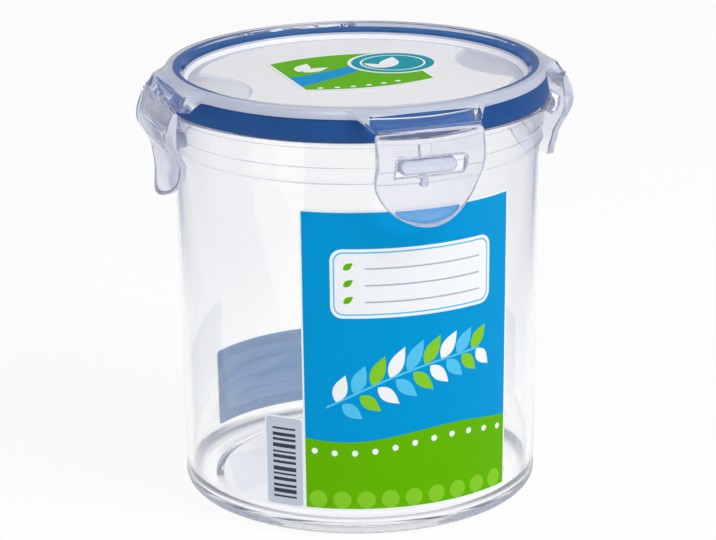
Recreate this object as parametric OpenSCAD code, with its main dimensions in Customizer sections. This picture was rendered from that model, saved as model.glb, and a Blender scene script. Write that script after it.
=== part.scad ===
// Round clip-lock food canister: a clear container, a clear lid with a silicone seal,
// and four hinged flaps whose slots catch on lugs moulded on the container's collar.
// +Z is up, the origin is the centre of the base, and the front flap faces -Y.

/* [Container] */
// Outer diameter of the body just under its collar
body_d = 100; // [80:1:140]
// How much smaller the outer radius is at the base
body_draft = 1.2; // [0:0.1:3]
// Height of the container from the table to its rim
container_h = 110.1; // [80:1:180]
// Thickness of the body's wall
wall = 1.6; // [1.2:0.1:2.2]
// Thickness of the floor
floor_t = 2.2; // [1.6:0.1:4]
// Outside radius of the base edge
base_round = 5; // [3:0.5:7]
// Width of the flat ring that the base stands on
foot_w = 3; // [2:0.5:8]
// Depth of the recess inside the foot ring
foot_recess = 0.8; // [0.4:0.1:1.2]

/* [Collar and rim] */
// How far the collar stands out from the body
collar_step = 1; // [0.6:0.1:1.5]
// Height of the collar from its lower step to the rim
collar_h = 11.7; // [11:0.1:15]
// Height of the thicker band under the rim
band_h = 6.9; // [4:0.1:9]
// How far that band stands out from the collar
band_step = 0.3; // [0.1:0.1:0.6]
// How far the rim flange stands out from the collar
flange_out = 2.2; // [1.6:0.1:2.6]
// Height of the rim flange
flange_h = 1.4; // [1:0.1:2.2]
// Width of the bead on the rim that presses into the seal
bead_w = 1.2; // [0.8:0.1:1.6]
// Height of that bead
bead_h = 0.9; // [0.5:0.1:1.4]

/* [Lugs] */
// Length of a lug along its outer face
lug_w = 15.6; // [10:0.2:18]
// Height of a lug
lug_h = 4; // [3:0.1:5]
// Distance from the rim down to the top of a lug
lug_drop = 4.4; // [3.7:0.1:6]
// How far a lug reaches past the inner face of the closed flap
lug_reach = 0.8; // [0.4:0.1:1.2]
// How much wider a lug is at its root, at each end
lug_flare = 0.4; // [0.1:0.1:2]
// Width of the rib between a lug and the rim flange
lug_rib_w = 3.4; // [2:0.1:6]
// Width of the short nub under a lug
nub_w = 2; // [1.4:0.1:3]
// Length of that nub
nub_h = 4; // [2:0.1:5]

/* [Lid] */
// How far the rim flange stands out past the lid's lip
lid_inset = 1.5; // [1:0.1:2.2]
// Thickness of the lip over the seal
lip_t = 2.8; // [2:0.1:4]
// Depth of the recess inside the lip
recess_depth = 4; // [2.4:0.1:5]
// How far the recess wall slopes in
recess_slope = 2; // [1:0.1:3]
// Thickness of the recessed panel
panel_t = 1.6; // [1.2:0.1:2.2]
// Height of the raised middle of the panel
plateau_h = 0.5; // [0.3:0.1:0.9]
// Width of the low ring round the raised middle
plateau_inset = 2.4; // [1:0.1:5]
// How far each round side lobe reaches in from the recess wall
lobe_reach = 14.5; // [8:0.5:20]
// Radius of the round side lobes
lobe_r = 22; // [16:0.5:30]
// Thickness of the plug wall that drops into the container's mouth
plug_t = 1.6; // [1.2:0.1:2.2]
// How far the plug reaches below the rim
plug_depth = 1.6; // [0.8:0.1:4]

/* [Seal] */
// Height of the seal ring
seal_h = 5.6; // [4.9:0.1:7]
// How far the seal bulges out past its top edge
seal_bulge = 1.3; // [0.4:0.1:1.5]

/* [Flaps] */
// Width of a flap
flap_w = 29.6; // [26:0.2:38]
// Distance from the hinge axis down to the flap's lower end
flap_h = 26; // [23:0.2:30]
// Thickness of the flap at its lower tongue
tongue_t = 1.9; // [1.4:0.1:2.4]
// Finger gap between the tongue and the body
tongue_gap = 2.4; // [1.4:0.1:3]
// Thickness of the flap at its shoulder
shoulder_t = 2.9; // [2:0.1:3.4]
// Height of the sweep from the tongue out to the shoulder
sweep_h = 8.1; // [6:0.1:11]
// How far the finger lip at the flap's lower end flares out
lip_flare = 3; // [1:0.1:3.4]
// Height of that flare
lip_h = 6.6; // [4:0.2:9]
// Radius of the corners of the slot
slot_round = 0.8; // [0.4:0.1:1.4]

/* [Hinges] */
// How far the hinge axis stands out from the rim flange
hinge_out = 2.3; // [2.1:0.1:3]
// Height of the hinge axis above the rim
hinge_up = 3.8; // [3.6:0.1:4.3]
// Diameter of the flexible film in the hinge
film_d = 1.1; // [0.8:0.1:1.3]
// How much wider a lid tab is than the flap, at each end
tab_flare = 1.2; // [0.6:0.1:3]
// Radius of the gusset that blends a tab into the lip
gusset_r = 8; // [4:0.5:14]

/* [Labels] */
// Width of the front label, measured round the body
front_label_w = 61.4; // [40:0.2:76]
// How far the front label's middle lies to the right of the front flap
front_label_shift = -1.8; // [-4:0.1:4]
// Bare wall between the front label and the collar
front_label_top_gap = 7; // [4:0.2:14]
// Bare wall between the front label and the rounded base edge
front_label_base_gap = 2.8; // [1:0.1:8]
// Width of the striped tab beside the front label
stripe_tab_w = 11.4; // [6:0.2:12]
// Height of that tab
stripe_tab_h = 25.6; // [12:0.2:36]
// Width of the rear label, measured round the body
rear_label_w = 70; // [30:0.5:76]
// Height of the rear label
rear_label_h = 22.4; // [10:0.2:40]
// Bare wall between the rear label and the rounded base edge
rear_label_base_gap = 0.6; // [0.2:0.1:8]
// Width of the lid label
lid_label_w = 38; // [28:0.5:40]
// Length of the lid label from front to rear
lid_label_l = 40; // [30:0.5:44]
// How far the lid label's middle lies behind the middle of the lid
lid_label_shift = 4; // [0:0.5:6]
// Diameter of the round badge at the lid label's corner
badge_d = 25; // [16:0.5:26]
// Thickness of every label
label_t = 0.12; // [0.08:0.02:0.2]
// Radius of the corners of the labels
label_round = 1.2; // [0.6:0.1:2.4]

/* [Fits] */
// Gap between a lug and the flap's slot, under the lug
catch_gap = 0.3; // [0.2:0.05:0.5]
// Play of the slot above a lug
slot_play = 1; // [0.6:0.1:1.6]
// Play of the slot at each end of a lug
slot_end_play = 1.6; // [1:0.1:2.4]
// Gap between the plug and the container's mouth
plug_gap = 0.4; // [0.3:0.05:0.6]
// Gap between the seal and the container's rim
seal_gap = 0.3; // [0.2:0.05:0.5]
// Gap between the seal and its seat in the lid
seat_gap = 0.05; // [0.02:0.01:0.1]
// Running gap between the hinge film and its seats
film_gap = 0.05; // [0.02:0.01:0.1]
// Gap between a lid tab and what passes beside it
tab_gap = 0.5; // [0.3:0.05:0.8]
// Thickness of the adhesive under a label
glue_t = 0.04; // [0.02:0.01:0.1]

/* [Hidden] */
$fn = 96;
arc_steps = 8;
curve_steps = 14;
eps = 0.01;

// Turn of each flap about the axis of the canister
front_turn = 0;
right_turn = 90;
rear_turn = 180;
left_turn = 270;
all_turns = [front_turn, right_turn, rear_turn, left_turn];

// Container
body_r = body_d / 2;
base_r = body_r - body_draft;
rim_z = container_h;
collar_z = rim_z - collar_h;
collar_r = body_r + collar_step;
collar_bevel = collar_step / 2;
band_r = collar_r + band_step;
band_z = rim_z - band_h;
flange_r = collar_r + flange_out;
flange_z = rim_z - flange_h;
flange_round = flange_h / 4;
mouth_r = body_r - wall;
inner_round = base_round - wall / 2;
floor_z = foot_recess + floor_t;
foot_r = base_r - base_round - foot_w;
foot_bevel = 2.2;
mouth_bevel = 0.6;

// Seal and lid
plug_r = mouth_r - plug_gap;
plug_in_r = plug_r - plug_t;
plug_z = rim_z - plug_depth;
lid_r = flange_r - lid_inset;
seal_in_r = plug_r + seat_gap;
lip_overhang = 0.5;
seal_top_r = lid_r - lip_overhang;
seal_r = seal_top_r + seal_bulge;
seal_z = rim_z + seal_gap;
seal_top = seal_z + seal_h;
bead_r = (seal_in_r + seal_r) / 2;
seal_foot_h = 0.6;
seal_foot_bevel = 0.3;
groove_z = seal_top + seat_gap;
lid_top = groove_z + lip_t;
lip_in_r = plug_r - seat_gap;
lip_round = 0.6;
panel_z = lid_top - recess_depth;
panel_r = lip_in_r - recess_slope;
plateau_r = panel_r - plateau_inset;
plateau_z = panel_z + plateau_h;
plateau_bevel = 0.4;
panel_under = panel_z - panel_t;
lobe_x = panel_r - lobe_reach + lobe_r;

// Hinges and flaps
hinge_d = flange_r + hinge_out;
hinge_z = rim_z + hinge_up;
film_r = film_d / 2;
film_seat_r = film_r + film_gap;
film_end_gap = 0.4;
flap_bottom = hinge_z - flap_h;
tongue_in = body_r + tongue_gap;
neck_wall = 0.1;
neck_in = hinge_d - film_seat_r - neck_wall;
neck_out = hinge_d + film_seat_r + neck_wall;
neck_drop = 0.8;
neck_z = hinge_z - neck_drop * film_seat_r;
shoulder_step = 0.5;
shoulder_in = neck_in + shoulder_step;
shoulder_out = shoulder_in + shoulder_t;
lug_top = rim_z - lug_drop;
lug_z = lug_top - lug_h;
lug_d = shoulder_in + lug_reach;
lug_root = collar_r - wall;
lug_end_share = 0.4;
lug_round = lug_end_share * lug_h;
slot_z = lug_z - catch_gap;
slot_h = lug_h + catch_gap + slot_play;
slot_w = lug_w + 2 * slot_end_play;
sweep_share = 0.7;
sweep_top = slot_z + sweep_share * slot_h;
sweep_z = sweep_top - sweep_h;
shoulder_rise = 1.5;
shoulder_z = sweep_top + shoulder_rise;
seat_from = 215;
seat_to = 325;
tab_seat_from = 120;
tab_seat_to = 200;
tab_lobe_r = 1.5;
tab_top = lid_top - lip_round;
tab_slope_w = 2.4;
tab_bend = hinge_d - tab_slope_w;
tab_clear_r = seal_r + tab_gap;
tab_drop = 1.2;
tab_z = hinge_z - tab_drop;
tab_half = flap_w / 2 + tab_flare;

// Labels
front_label_base = base_round + front_label_base_gap;
front_label_h = collar_z - front_label_top_gap - front_label_base;
rear_label_base = base_round + rear_label_base_gap;
lid_label_bow = 1.2;
badge_inset = 0.2;

function arc(c, r, from, to) =
    [for (i = [0:arc_steps]) let (a = from + (to - from) * i / arc_steps) c + r * [cos(a), sin(a)]];

// Smooth step from 0 to 1
function ease(t) = (1 - cos(180 * max(0, min(1, t)))) / 2;

// Outer radius of the body at a height
function body_r_at(z) = base_r + body_draft * (z - base_round) / (collar_z - base_round);

// How far the finger lip at the flap's lower end leans out at a height
function lip_lean(z) = lip_flare * pow(max(0, 1 - (z - flap_bottom) / lip_h), 2);

// Distance of the flap's two faces from the canister's axis at a height
function flap_in(z) =
    z < sweep_top
        ? tongue_in + lip_lean(z) + (shoulder_in - tongue_in) * ease((z - sweep_z) / sweep_h)
        : shoulder_in + (neck_in - shoulder_in) * ease((z - shoulder_z) / (neck_z - shoulder_z));
function flap_out(z) =
    z < shoulder_z
        ? tongue_in + tongue_t + lip_lean(z)
            + (shoulder_out - tongue_in - tongue_t) * ease((z - sweep_z) / (shoulder_z - sweep_z))
        : neck_out + (shoulder_out - neck_out) * cos(90 * (z - shoulder_z) / (neck_z - shoulder_z));

// Puts a profile of distance and height along X, facing -Y, with a length
module along_edge(length) {
    rotate([0, 0, -90])
        rotate([90, 0, 0])
            linear_extrude(height = length, center = true)
                children();
}

// Pushes an outline of X and height outwards, towards -Y
module outwards(from, to) {
    translate([0, -from, 0])
        rotate([90, 0, 0])
            linear_extrude(height = to - from)
                children();
}

module rounded_rect(w, h, r) {
    square([w - 2 * r, h], center = true);
    square([w, h - 2 * r], center = true);
    for (x = [-1, 1], y = [-1, 1])
        translate([x * (w / 2 - r), y * (h / 2 - r)])
            circle(r);
}

module container_shell() {
    rotate_extrude()
        polygon(concat(
            [[0, foot_recess], [foot_r - foot_bevel, foot_recess], [foot_r, 0]],
            arc([base_r - base_round, base_round], base_round, -90, 0),
            [[body_r, collar_z], [collar_r, collar_z + collar_bevel]],
            [[collar_r, band_z - band_step], [band_r, band_z], [band_r, flange_z]],
            [[flange_r - flange_round, flange_z]],
            arc([flange_r - flange_round, flange_z + flange_round], flange_round, -90, 0),
            arc([flange_r - flange_round, rim_z - flange_round], flange_round, 0, 90),
            [[bead_r + bead_w / 2, rim_z]],
            arc([bead_r, rim_z + bead_h - bead_w / 2], bead_w / 2, 0, 180),
            [[bead_r - bead_w / 2, rim_z], [mouth_r + mouth_bevel, rim_z], [mouth_r, rim_z - mouth_bevel]],
            [[mouth_r, collar_z]],
            arc([base_r - wall - inner_round, floor_z + inner_round], inner_round, 0, -90),
            [[0, floor_z]]));
}

// One lug with the rib above it and the nub below it, facing -Y
module lug() {
    intersection() {
        translate([0, 0, lug_z])
            linear_extrude(height = lug_h)
                polygon([
                    [-lug_w / 2, -lug_d], [lug_w / 2, -lug_d],
                    [lug_w / 2 + lug_flare, -lug_root], [-lug_w / 2 - lug_flare, -lug_root]]);
        outwards(0, 2 * lug_d)
            translate([0, lug_z + lug_h / 2])
                rounded_rect(lug_w + 2 * lug_flare, lug_h, lug_round);
    }
    rib_d = band_r + collar_step;
    translate([-lug_rib_w / 2, -rib_d, lug_top - lug_round])
        cube([lug_rib_w, rib_d - lug_root, flange_z - lug_top + lug_round + eps]);
    nub_d = collar_r + tongue_gap / 3;
    translate([-nub_w / 2, -nub_d, lug_z - nub_h])
        cube([nub_w, nub_d - lug_root, nub_h + lug_round]);
}

module container() {
    color("aliceblue", 0.5)
        union() {
            container_shell();
            for (turn = all_turns)
                rotate([0, 0, turn])
                    lug();
        }
}

module lid_shell() {
    rotate_extrude()
        polygon(concat(
            [[0, plateau_z], [plateau_r - plateau_bevel, plateau_z], [plateau_r, panel_z]],
            [[panel_r, panel_z], [lip_in_r, lid_top - lip_round]],
            [[lip_in_r + lip_round, lid_top]],
            arc([lid_r - lip_round, lid_top - lip_round], lip_round, 90, 0),
            [[lid_r, groove_z], [plug_r, groove_z]],
            [[plug_r, plug_z + mouth_bevel], [plug_r - mouth_bevel, plug_z], [plug_in_r, plug_z]],
            [[plug_in_r, panel_under], [0, panel_under]]));
}

// Point at a distance and an angle from the hinge axis
function by_hinge(r, angle) = [hinge_d, hinge_z] + r * [cos(angle), sin(angle)];

// Profile of a tab: it slopes from the lip down to its seat round the hinge film
module tab_profile() {
    polygon(concat(
        [[0, tab_top], [tab_bend, tab_top - lip_round]],
        arc([hinge_d, hinge_z], film_seat_r, tab_seat_from, tab_seat_to),
        [by_hinge(tab_lobe_r, tab_seat_to), [tab_bend, tab_z], [0, tab_z]]));
}

// Plan of a tab: a straight outer edge, blended into the lip by a hollow gusset at each end
module tab_plan() {
    corner_r = norm([tab_half, tab_bend]);
    gusset_d = lid_r + gusset_r;
    gusset_angle = atan2(tab_half, tab_bend)
        + acos((gusset_d * gusset_d + corner_r * corner_r - gusset_r * gusset_r) / (2 * gusset_d * corner_r));
    gusset = gusset_d * [sin(gusset_angle), -cos(gusset_angle)];
    difference() {
        polygon([
            [-flap_w / 2, -hinge_d], [flap_w / 2, -hinge_d], [tab_half, -tab_bend],
            gusset, [0, 0], [-gusset.x, gusset.y], [-tab_half, -tab_bend]]);
        for (side = [-1, 1])
            translate([side * gusset.x, gusset.y])
                circle(gusset_r);
    }
}

module lid() {
    color("aliceblue", 0.5)
        difference() {
            union() {
                lid_shell();
                for (turn = all_turns)
                    rotate([0, 0, turn])
                        lid_tab();
            }
            for (side = [-1, 1])
                translate([side * lobe_x, 0, panel_z])
                    intersection() {
                        cylinder(r = lobe_r, h = recess_depth);
                        translate([-side * lobe_x, 0, 0])
                            cylinder(r = plateau_r, h = recess_depth);
                    }
        }
}

module lid_tab() {
    difference() {
        intersection() {
            along_edge(2 * lid_r)
                tab_profile();
            linear_extrude(height = lid_top)
                tab_plan();
        }
        translate([0, 0, groove_z - lid_top])
            cylinder(r = tab_clear_r, h = lid_top);
        cylinder(r = plug_r, h = lid_top);
    }
}

module seal_ring() {
    bulge_z = seal_z + seal_foot_h;
    bulge_h = seal_h - seal_foot_h;
    bulge = [for (i = [0:curve_steps]) let (t = i / curve_steps)
        [seal_top_r + seal_bulge * cos(90 * t), bulge_z + bulge_h * t]];
    color("royalblue")
        rotate_extrude()
            difference() {
                polygon(concat(
                    [[seal_in_r, seal_z], [seal_r - seal_foot_bevel, seal_z]],
                    bulge,
                    [[seal_in_r, seal_top]]));
                groove_w = bead_w + 2 * seal_gap;
                translate([bead_r - groove_w / 2, rim_z])
                    square([groove_w, bead_h + seal_gap]);
            }
}

module flap(turn) {
    side_steps = 2 * curve_steps;
    drop = neck_z - flap_bottom;
    heights = [for (i = [0:side_steps]) neck_z - drop * i / side_steps];
    profile = concat(
        arc([hinge_d, hinge_z], film_seat_r, seat_to, seat_from),
        [for (z = heights) [flap_in(z), z]],
        [for (i = [side_steps:-1:0]) [flap_out(heights[i]), heights[i]]]);
    color("aliceblue", 0.6)
        rotate([0, 0, turn])
            difference() {
                intersection() {
                    along_edge(flap_w)
                        polygon(profile);
                    outwards(0, 2 * hinge_d)
                        translate([0, flap_bottom + flap_w / 2]) {
                            circle(flap_w / 2);
                            translate([-flap_w / 2, 0])
                                square([flap_w, flap_h]);
                        }
                }
                outwards(0, 2 * hinge_d)
                    translate([0, slot_z + slot_h / 2])
                        rounded_rect(slot_w, slot_h, slot_round);
            }
}

module hinge_film(turn) {
    color("lavender")
        rotate([0, 0, turn])
            translate([0, -hinge_d, hinge_z])
                rotate([0, 90, 0])
                    cylinder(r = film_r, h = flap_w - 2 * film_end_gap, center = true);
}

// A thin sheet that follows the body's drafted wall between two heights
module body_sheet(from, to) {
    rotate_extrude()
        polygon([
            [body_r_at(from) + glue_t, from], [body_r_at(from) + glue_t + label_t, from],
            [body_r_at(to) + glue_t + label_t, to], [body_r_at(to) + glue_t, to]]);
}

// Sideways place of a point that lies a distance round the body from the front
function round_x(distance) = body_r * sin(distance / body_r * 180 / PI);

module front_label() {
    left = round_x(front_label_shift - front_label_w / 2);
    right = round_x(front_label_shift + front_label_w / 2);
    tab_left = round_x(front_label_shift - front_label_w / 2 - stripe_tab_w);
    color("deepskyblue")
        intersection() {
            body_sheet(front_label_base, front_label_base + front_label_h);
            outwards(body_r / 4, 2 * body_r)
                union() {
                    translate([(left + right) / 2, front_label_base + front_label_h / 2])
                        rounded_rect(right - left, front_label_h, label_round);
                    translate([(left + tab_left) / 2 + label_round, front_label_base + stripe_tab_h / 2])
                        rounded_rect(left - tab_left + 2 * label_round, stripe_tab_h, label_round);
                }
        }
}

module rear_label() {
    half = round_x(rear_label_w / 2);
    color("lightsteelblue")
        intersection() {
            body_sheet(rear_label_base, rear_label_base + rear_label_h);
            rotate([0, 0, rear_turn])
                outwards(body_r / 4, 2 * body_r)
                    translate([0, rear_label_base + rear_label_h / 2])
                        rounded_rect(2 * half, rear_label_h, label_round);
        }
}

// The lid label has straight sides, bowed ends and a round badge at one corner
module lid_label() {
    bow_r = lid_label_bow * lid_label_w;
    color("limegreen")
        translate([0, lid_label_shift, plateau_z + glue_t])
            linear_extrude(height = label_t) {
                intersection() {
                    square([lid_label_w, lid_label_l], center = true);
                    intersection_for (end = [-1, 1])
                        translate([0, end * (lid_label_l / 2 - bow_r)])
                            circle(bow_r);
                }
                translate([lid_label_w / 2 - badge_inset * badge_d, badge_inset * badge_d])
                    circle(badge_d / 2);
            }
}

container();
lid();
seal_ring();
flap(front_turn);  // flap_front
flap(right_turn);  // flap_right
flap(rear_turn);  // flap_rear
flap(left_turn);  // flap_left
hinge_film(front_turn);  // hinge_film_front
hinge_film(right_turn);  // hinge_film_right
hinge_film(rear_turn);  // hinge_film_rear
hinge_film(left_turn);  // hinge_film_left
front_label();
rear_label();
lid_label();
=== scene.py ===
import math

import bmesh
import bpy
import numpy as np
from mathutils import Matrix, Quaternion, Vector
from mathutils.geometry import delaunay_2d_cdt


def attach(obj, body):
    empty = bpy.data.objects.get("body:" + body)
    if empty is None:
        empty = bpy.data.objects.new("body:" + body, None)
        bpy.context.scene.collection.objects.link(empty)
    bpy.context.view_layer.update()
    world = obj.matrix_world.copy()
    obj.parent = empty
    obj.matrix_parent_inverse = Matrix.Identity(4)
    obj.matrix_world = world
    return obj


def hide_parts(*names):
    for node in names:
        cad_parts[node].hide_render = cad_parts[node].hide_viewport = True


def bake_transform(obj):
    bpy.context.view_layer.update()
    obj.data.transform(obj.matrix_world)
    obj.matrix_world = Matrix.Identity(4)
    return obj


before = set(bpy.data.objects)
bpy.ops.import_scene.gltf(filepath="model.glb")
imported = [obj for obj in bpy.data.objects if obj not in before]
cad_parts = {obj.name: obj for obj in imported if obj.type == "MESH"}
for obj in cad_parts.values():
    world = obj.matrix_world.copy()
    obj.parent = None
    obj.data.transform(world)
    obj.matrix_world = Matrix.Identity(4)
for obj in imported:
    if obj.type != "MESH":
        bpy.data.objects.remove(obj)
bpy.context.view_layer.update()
scene = bpy.context.scene
mm = 0.001
turns = {"front": 0, "right": 90, "rear": 180, "left": 270}  # degrees about the canister's axis
print("frame loaded:", len(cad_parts), "nodes")


def linear(hexColour):
    parts = [int(hexColour[i:i + 2], 16) / 255 for i in (1, 3, 5)]
    return tuple(c / 12.92 if c <= 0.04045 else ((c + 0.055) / 1.055) ** 2.4 for c in parts) + (1.0,)


def addNode(tree, kind, inputs=None, **settings):
    node = tree.nodes.new(kind)
    for key, value in settings.items():
        setattr(node, key, value)
    for key, value in (inputs or {}).items():
        if isinstance(value, bpy.types.NodeSocket):
            tree.links.new(value, node.inputs[key])
        else:
            node.inputs[key].default_value = value
    return node


def newMaterial(name):
    material = bpy.data.materials.new(name)
    material.use_nodes = True
    material.node_tree.nodes.clear()
    return material, material.node_tree


noiseReach = (0.3, 0.7)  # where most of a noise's values lie
flowDepth = 0.3  # mm


# Clear mouldings: bright and glassy face on, faintly lavender where light crosses many faces, with the soft waviness
# that a melt leaves on a polished mould. Satin, frosted and edge ones come off an etched mould face and look milky
clearLook = {  # tint, share of light let through, refraction, roughness, flow size in mm, flow strength
    "clearCopolyester": ("#ffffff", 0.99, 1.54, (0.0, 0.03), 14.0, 0.04),
    # painted shade: the lugs' lavender-grey tint, on a satin face
    "satinCopolyester": ("#ced4e9", 0.6, 1.54, (0.16, 0.28), 4.0, 0.08),
    "polishedPolypropylene": ("#f8f9ff", 0.995, 1.49, (0.02, 0.06), 9.0, 0.04),
    "clarifiedPolypropylene": ("#f0f1f8", 0.97, 1.49, (0.05, 0.13), 7.0, 0.05),
    "edgePolypropylene": ("#e2e5f1", 0.58, 1.49, (0.16, 0.26), 6.0, 0.05),
    "frostedPolypropylene": ("#f4f6fd", 0.46, 1.49, (0.14, 0.24), 6.0, 0.05),
    "satinPolypropylene": ("#f9f9fc", 0.06, 1.49, (0.28, 0.32), 9.0, 0.03),
}


def clearPlastic(name):
    tint, clear, ior, roughness, flowMm, flowBump = clearLook[name]
    material, tree = newMaterial(name)
    spot = addNode(tree, "ShaderNodeTexCoord").outputs["Object"]
    flow = addNode(tree, "ShaderNodeTexNoise", {"Vector": spot, "Scale": 1 / (flowMm * mm), "Detail": 1.5})
    haze = addNode(tree, "ShaderNodeTexNoise", {"Vector": spot, "Scale": 2 / (flowMm * mm), "Detail": 1.0})
    rough = addNode(tree, "ShaderNodeMapRange", {
        "Value": haze.outputs["Fac"], "From Min": noiseReach[0], "From Max": noiseReach[1],
        "To Min": roughness[0], "To Max": roughness[1]})
    bump = addNode(tree, "ShaderNodeBump", {
        "Height": flow.outputs["Fac"], "Strength": flowBump, "Distance": flowDepth * mm})
    shader = addNode(tree, "ShaderNodeBsdfPrincipled", {
        "Base Color": linear(tint), "Roughness": rough.outputs["Result"], "IOR": ior, "Transmission Weight": clear,
        "Normal": bump.outputs["Normal"]})
    addNode(tree, "ShaderNodeOutputMaterial", {"Surface": shader.outputs["BSDF"]})
    return material


# Moulded silicone rubber: a deep blue with a satin skin, and a bloom that dulls it in patches.
# Where the lid covers it, the blue is painted brighter and purer: painted light, for the light that comes through the
# plastic
siliconeLook = {
    "patch": (9.0, 3.0), "grain": (0.25, 2.0), "bump": (0.12, 0.05), "from": noiseReach, "ior": 1.41, "shine": 0.35}
siliconeTones = {
    "siliconeRubber": {"low": "#0e447f", "high": "#195092", "rough": (0.38, 0.52)},
    # painted light: a brighter blue for the faces the lid covers
    "wettedSilicone": {"low": "#085c9e", "high": "#0e66aa", "rough": (0.6, 0.7)},
}
# Printed label film: flat ink under a thin varnish, with a faint press mottle and an orange-peel gloss.
# The mottle is drawn a little coarser than a real screen, which is too fine to show
inkLook = {
    "patch": (0.8, 3.0), "grain": (1.6, 1.0), "bump": (0.05, 0.05), "from": (0, 1), "ior": 1.49, "shine": 0.03,
    "rough": (0.3, 0.42)}
inkColours = {
    "whiteFilm": "#f4f6f8", "blueInk": "#0097d6", "paleBlueInk": "#57c4ee", "greenInk": "#63b500",
    "paleGreenInk": "#86cb2c", "greyInk": "#c6d0dd", "slateInk": "#3b4452", "ruleInk": "#aeb9c6",
    "tealInk": "#0f9aab", "mistInk": "#a9bbd4",
}
mottle = 0.08  # how much darker an ink's thin spots are


def patchedSkin(name, low, high, look):
    # patches shift the colour and the roughness, a grain lifts the skin; both are given by size in mm and detail
    material, tree = newMaterial(name)
    spot = addNode(tree, "ShaderNodeTexCoord").outputs["Object"]
    patch, grain = (addNode(tree, "ShaderNodeTexNoise", {
        "Vector": spot, "Scale": 1 / (size * mm), "Detail": detail}).outputs["Fac"]
        for size, detail in (look["patch"], look["grain"]))
    colour = addNode(tree, "ShaderNodeMix", {0: patch, 6: low, 7: high}, data_type="RGBA")
    rough = addNode(tree, "ShaderNodeMapRange", {
        "Value": patch, "From Min": look["from"][0], "From Max": look["from"][1],
        "To Min": look["rough"][0], "To Max": look["rough"][1]})
    bump = addNode(tree, "ShaderNodeBump", {
        "Height": grain, "Strength": look["bump"][0], "Distance": look["bump"][1] * mm})
    shader = addNode(tree, "ShaderNodeBsdfPrincipled", {
        "Base Color": colour.outputs[2], "Roughness": rough.outputs["Result"], "IOR": look["ior"],
        "Specular IOR Level": look["shine"], "Normal": bump.outputs["Normal"]})
    addNode(tree, "ShaderNodeOutputMaterial", {"Surface": shader.outputs["BSDF"]})
    return material


def siliconeRubber(name):
    tones = siliconeTones[name]
    return patchedSkin(name, linear(tones["low"]), linear(tones["high"]), {**siliconeLook, "rough": tones["rough"]})


def printedFilm(name):
    ink = linear(inkColours[name])
    return patchedSkin(name, ink, tuple(c * (1 - mottle) for c in ink[:3]) + (1.0,), inkLook)


# The glued side of a label film: a grey-blue show-through, paler behind bare film than behind ink,
# and cloudy where the glue has wetted it
glueLook = {
    "glueOverFilm": {"dry": "#5084b4", "wet": "#6394c2", "cloudMm": 5.0, "rough": 0.45},
    "glueOverInk": {"dry": "#3d74a8", "wet": "#4d82b2", "cloudMm": 5.0, "rough": 0.45},
}


def gluedFilm(name):
    look = glueLook[name]
    material, tree = newMaterial(name)
    spot = addNode(tree, "ShaderNodeTexCoord").outputs["Object"]
    cloud = addNode(tree, "ShaderNodeTexNoise", {"Vector": spot, "Scale": 1 / (look["cloudMm"] * mm), "Detail": 5.0})
    colour = addNode(tree, "ShaderNodeMix", {
        0: cloud.outputs["Fac"], 6: linear(look["dry"]), 7: linear(look["wet"])}, data_type="RGBA")
    shader = addNode(tree, "ShaderNodeBsdfPrincipled", {
        "Base Color": colour.outputs[2], "Roughness": look["rough"], "IOR": 1.47})
    addNode(tree, "ShaderNodeOutputMaterial", {"Surface": shader.outputs["BSDF"]})
    return material


plastics = {name: clearPlastic(name) for name in clearLook}
rubbers = {name: siliconeRubber(name) for name in siliconeTones}
inks = {name: printedFilm(name) for name in inkColours}
inks.update({name: gluedFilm(name) for name in glueLook})
print("materials made:", len(bpy.data.materials))


def roundedPath(corners, steps=5):
    # corners hold distance, height and radius, in mm; every rounded corner gives steps + 1 points
    path, share, least = [], 0.46, 0.02  # a rounding takes at most this share of a side, and at least so much of it
    for i, (x, y, radius) in enumerate(corners):
        here = Vector((x, y))
        if radius == 0:
            path.append(here)
            continue
        before = Vector(corners[i - 1][:2]) - here
        after = Vector(corners[(i + 1) % len(corners)][:2]) - here
        half = before.angle(after) / 2
        reach = max(min(radius / math.tan(half), share * before.length, share * after.length), least)
        start = here + before.normalized() * reach
        end = here + after.normalized() * reach
        sweep = math.pi - 2 * half
        if sweep < 0.05:
            path += [start.lerp(end, k / steps) for k in range(steps + 1)]
            continue
        centre = here + (before.normalized() + after.normalized()).normalized() * (reach / math.cos(half))
        for k in range(steps + 1):
            a, b = math.sin((1 - k / steps) * sweep), math.sin(k / steps * sweep)
            path.append(centre + ((start - centre) * a + (end - centre) * b) / math.sin(sweep))
    return [(p.x, p.y) for p in path]


def meshObject(name, points, faces):
    mesh = bpy.data.meshes.new(name)
    mesh.from_pydata([tuple(c * mm for c in p) for p in points], [], faces)
    thing = bpy.data.objects.new(name, mesh)
    scene.collection.objects.link(thing)
    return thing


def tidyMesh(thing, sharp=38, merge=True):
    # near points are merged, or else only loose ones are dropped; edges over the angle stay sharp
    solid = bmesh.new()
    solid.from_mesh(thing.data)
    if merge:
        bmesh.ops.remove_doubles(solid, verts=solid.verts, dist=0.002 * mm)
        bmesh.ops.dissolve_degenerate(solid, edges=solid.edges, dist=0.0005 * mm)
    else:
        bmesh.ops.delete(solid, geom=[v for v in solid.verts if not v.link_faces], context="VERTS")
    bmesh.ops.recalc_face_normals(solid, faces=solid.faces)
    solid.to_mesh(thing.data)
    solid.free()
    thing.data.shade_smooth()
    thing.data.set_sharp_from_angle(angle=math.radians(sharp))
    return thing


def ringMesh(name, rings, closed):
    # rings is an array of points, one row for each place along the loop; the columns join round
    rows, columns = rings.shape[:2]
    faces = []
    for i in range(rows if closed else rows - 1):
        j = (i + 1) % rows
        faces += [(i * columns + k, i * columns + (k + 1) % columns,
                   j * columns + (k + 1) % columns, j * columns + k) for k in range(columns)]
    return meshObject(name, rings.reshape(-1, 3).tolist(), faces)


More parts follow.
